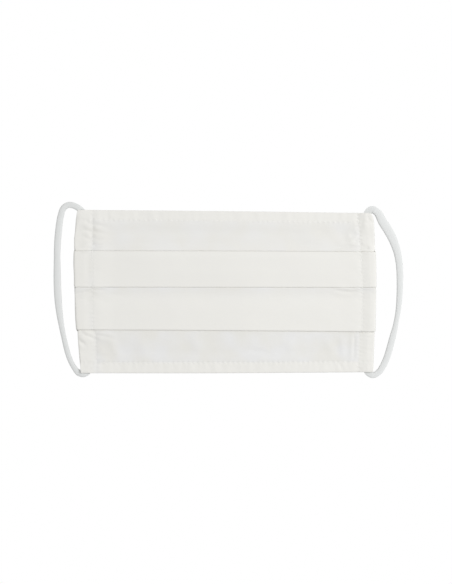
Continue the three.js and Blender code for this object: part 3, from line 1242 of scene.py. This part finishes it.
@dataclass
class EarLoop:
    """A flat elastic band that runs through its casing and round outside the mask."""

    name: str
    replaces: str
    route: tuple[tuple[float, float, float], ...]
    widths: Table
    exit: tuple[float, float, float]
    finish: bpy.types.Material
    hidden_width: float = 4.2
    hidden_thickness: float = 0.5
    hidden_drop: float = 0.15
    thickness: float = 1.9
    sides: int = 24
    spacing: float = 0.75

    def centreline(self) -> np.ndarray:
        """The route as a smooth line.

        Returns:
            Points a short step apart.
        """
        knots = np.array(self.route)
        ends = np.vstack([2 * knots[0] - knots[1], knots, 2 * knots[-1] - knots[-2]])
        line = []
        for p0, p1, p2, p3 in zip(ends, ends[1:], ends[2:], ends[3:]):
            pairs = ((p0, p1), (p1, p2), (p2, p3))
            gaps = [max(np.linalg.norm(b - a) ** 0.5, 1e-4) for a, b in pairs]
            t1, t2, t3 = gaps[0], gaps[0] + gaps[1], sum(gaps)
            for t in np.linspace(t1, t2, 24, endpoint=False):
                a1 = (t1 - t) / t1 * p0 + t / t1 * p1
                a2 = (t2 - t) / gaps[1] * p1 + (t - t1) / gaps[1] * p2
                a3 = (t3 - t) / gaps[2] * p2 + (t - t2) / gaps[2] * p3
                b1 = (t2 - t) / t2 * a1 + t / t2 * a2
                b2 = (t3 - t) / (t3 - t1) * a2 + (t - t1) / (t3 - t1) * a3
                line.append((t2 - t) / gaps[1] * b1 + (t - t1) / gaps[1] * b2)
        line.append(knots[-1])
        line = np.array(line)
        run = run_of(line)
        at = np.linspace(0, run[-1], int(run[-1] / self.spacing))
        return np.stack([np.interp(at, run, line[:, k]) for k in range(3)], axis=1)

    def shown(self, line: np.ndarray) -> np.ndarray:
        """How far each point of the line is out of the casing.

        Args:
            line: points of the line.

        Returns:
            Shares from 0 in the casing to 1 outside it.
        """
        beside = smooth((np.abs(line[:, 0]) - 84.5) / 4.0)
        beyond = smooth((np.abs(line[:, 1]) - 46.5) / 3.0)
        inside = np.abs(line[:, 0]) < 85.5
        return np.maximum(np.where(inside, 0.0, beside), beyond)

    def build(self) -> bpy.types.Object:
        """Returns:
            The object.
        """
        line = self.centreline()
        shown = self.shown(line)
        line[:, 2] -= self.hidden_drop * (1 - shown)
        width = self.hidden_width + (read_table(self.widths, line[:, 1]) - self.hidden_width) * shown
        thick = self.hidden_thickness + (self.thickness - self.hidden_thickness) * shown
        ahead = np.gradient(line, axis=0)
        ahead /= np.linalg.norm(ahead, axis=1, keepdims=True)
        beside = np.cross([0.0, 0.0, 1.0], ahead)
        beside /= np.linalg.norm(beside, axis=1, keepdims=True)
        up = np.cross(ahead, beside)
        angle = 2 * math.pi * np.arange(self.sides) / self.sides
        flat = np.sign(np.cos(angle)) * np.abs(np.cos(angle)) ** 0.8
        tall = np.sign(np.sin(angle)) * np.abs(np.sin(angle)) ** 0.8
        rings = (
            line[:, None]
            + beside[:, None] * (flat[None, :, None] * width[:, None, None] / 2)
            + up[:, None] * (tall[None, :, None] * thick[:, None, None] / 2)
        )
        count = len(line)
        number = np.arange(count * self.sides).reshape(count, self.sides)
        near, far = number[:-1], number[1:]
        quads = np.stack(
            [near, np.roll(near, -1, axis=1), np.roll(far, -1, axis=1), far], axis=-1
        ).reshape(-1, 4)
        faces = [*quads.tolist(), number[0][::-1].tolist(), number[-1].tolist()]
        made = write_mesh(self.name, rings.reshape(-1, 3), faces)
        around = np.broadcast_to(flat * 2.4 + tall * 0.8, (count, self.sides))
        run = run_of(line)
        write_uv(made, around.copy(), np.broadcast_to(run[:, None], (count, self.sides)).copy())
        made.data.materials.append(self.finish)
        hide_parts(self.replaces)
        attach(made, "root")
        log.info("%s: %.1f mm of band", self.name, run[-1])
        return made


@dataclass(frozen=True)
class Studio:
    """A white ground under soft light from the right, seen from straight above."""

    ambient: float = 0.56
    key_power: float = 10.4
    key_place: tuple[float, float, float] = (0.76, 0.26, 1.14)
    key_size: float = 0.8
    bounce: float = 0.72
    eye: tuple[float, float, float] = (0.00074, -0.00024, 0.955)
    lens: float = 100.0

    def floor(self) -> bpy.types.Object:
        """Lays the ground, plain white to the eye, that still sends light back to the cloth.

        Returns:
            The ground.
        """
        bpy.ops.object.select_all(action="DESELECT")
        bpy.ops.mesh.primitive_plane_add(size=8.0, location=(0, 0, -0.0005))
        ground = bpy.context.active_object
        ground.name = "ground"
        g = Graph("ground")
        dull = g.node("BsdfDiffuse")
        dull.inputs["Color"].default_value = (self.bounce, self.bounce, self.bounce, 1.0)
        white = g.node("Emission")
        white.inputs["Color"].default_value = (1.0, 1.0, 1.0, 1.0)
        white.inputs["Strength"].default_value = 1.0
        seen = g.node("MixShader")
        g.feed(g.node("LightPath").outputs["Is Camera Ray"], seen.inputs[0])
        g.feed(dull.outputs[0], seen.inputs[1])
        g.feed(white.outputs[0], seen.inputs[2])
        out = g.node("OutputMaterial")
        g.feed(seen.outputs[0], out.inputs["Surface"])
        ground.data.materials.append(g.material)
        return ground

    def light(self) -> None:
        """Sets the sky and the large soft light."""
        world = bpy.data.worlds.new("sky")
        bpy.context.scene.world = world
        world.use_nodes = True
        sky = world.node_tree.nodes["Background"]
        sky.inputs["Color"].default_value = (1.0, 1.0, 1.0, 1.0)
        sky.inputs["Strength"].default_value = self.ambient
        data = bpy.data.lights.new("key", "AREA")
        data.shape = "SQUARE"
        data.size = self.key_size
        data.energy = self.key_power
        data.color = (1.0, 1.0, 1.0)
        key = bpy.data.objects.new("key", data)
        key.location = self.key_place
        key.rotation_mode = "QUATERNION"
        key.rotation_quaternion = Vector(self.key_place).to_track_quat("Z", "Y")
        bpy.context.collection.objects.link(key)

    def camera(self) -> None:
        """Sets the camera."""
        data = bpy.data.cameras.new("camera")
        data.lens = self.lens
        data.sensor_width = 36.0
        data.clip_start = 0.01
        data.clip_end = 20.0
        eye = bpy.data.objects.new("camera", data)
        eye.location = self.eye
        bpy.context.collection.objects.link(eye)
        bpy.context.scene.camera = eye
        bpy.context.scene.view_settings.view_transform = "Standard"


def hem_path(line: Line, raised: float, start: float, end: float) -> list[tuple[float, float]]:
    """A path that runs along a hem.

    Args:
        line: the edge of the mask there.
        raised: its height above the edge.
        start: first place in X.
        end: last place in X.

    Returns:
        Points in X and Y.
    """
    x = np.linspace(start, end, 60)
    return list(zip(x, line_at(line, x / HALF_WIDTH) + raised))


def seam_path(lines: SideLines, top: float, bottom: float) -> list[tuple[float, float]]:
    """A path that runs down a casing seam.

    Args:
        lines: the side.
        top: its highest place in Y.
        bottom: its lowest place in Y.

    Returns:
        Points in X and Y.
    """
    y = np.linspace(top, bottom, 80)
    return list(zip(lines.side.value * lines.seam_at(y), y))


def main() -> None:
    """Builds the mask and its studio."""
    logging.basicConfig(level=logging.INFO, format="%(name)s: %(message)s")
    cotton = CottonFinish().make()
    plain = PlainCottonFinish("casing cotton").make()
    thread_finish = PlainCottonFinish("thread", color=(0.88, 0.875, 0.85)).make()
    elastic = ElasticFinish().make()
    cloth = PleatedBody(cotton)
    body = cloth.build()
    casings = [
        Casing("left_casing_strip", "left_casing", LEFT, plain, cloth).build(),
        Casing("right_casing_strip", "right_casing", RIGHT, plain, cloth).build(),
    ]
    EarLoop(
        "left_band", "ear_loop_left", LEFT_ROUTE,
        ((50, 3.5), (44, 3.8), (36, 4.0), (28, 4.0), (20, 3.8), (10, 4.3), (-2, 4.4),
         (-9, 4.1), (-14, 3.7), (-20, 3.2), (-27, 2.9), (-34, 3.1), (-42, 3.0), (-48, 3.1)),
        (-82.8, 44.5, 1.25), elastic,
    ).build()
    EarLoop(
        "right_band", "ear_loop_right", RIGHT_ROUTE,
        ((48, 4.3), (44, 5.0), (40, 5.4), (34, 5.4), (28, 4.8), (22, 4.3), (16, 4.1), (10, 3.9),
         (-2, 3.5), (-8, 3.2), (-14, 2.9), (-20, 2.9), (-26, 3.7), (-34, 3.8), (-42, 3.8), (-48, 3.5)),
        (83.2, 42.5, 1.25), elastic,
    ).build()
    thread = Thread()
    for name, path, pitch in (
        ("top_hem_stitches", hem_path(TOP_EDGE, -HEM_SEAM, -75.0, 75.0), TOP_HEM_PITCH),
        ("bottom_hem_stitches", hem_path(BOTTOM_EDGE, BOTTOM_HEM_SEAM, -72.6, 75.0), HEM_PITCH),
        ("left_seam_stitches", seam_path(LEFT, 47.0, -47.0), SEAM_PITCH),
        ("right_seam_stitches", seam_path(RIGHT, 45.0, -46.6), SEAM_PITCH),
    ):
        for face in Face:
            StitchLine(
                f"{name}_{face.name.lower()}", [body, *casings], thread_finish, path, pitch, face
            ).build(thread)
    studio = Studio()
    studio.floor()
    studio.light()
    studio.camera()
    log.info("sizes written")


if __name__ == "__main__":
    main()
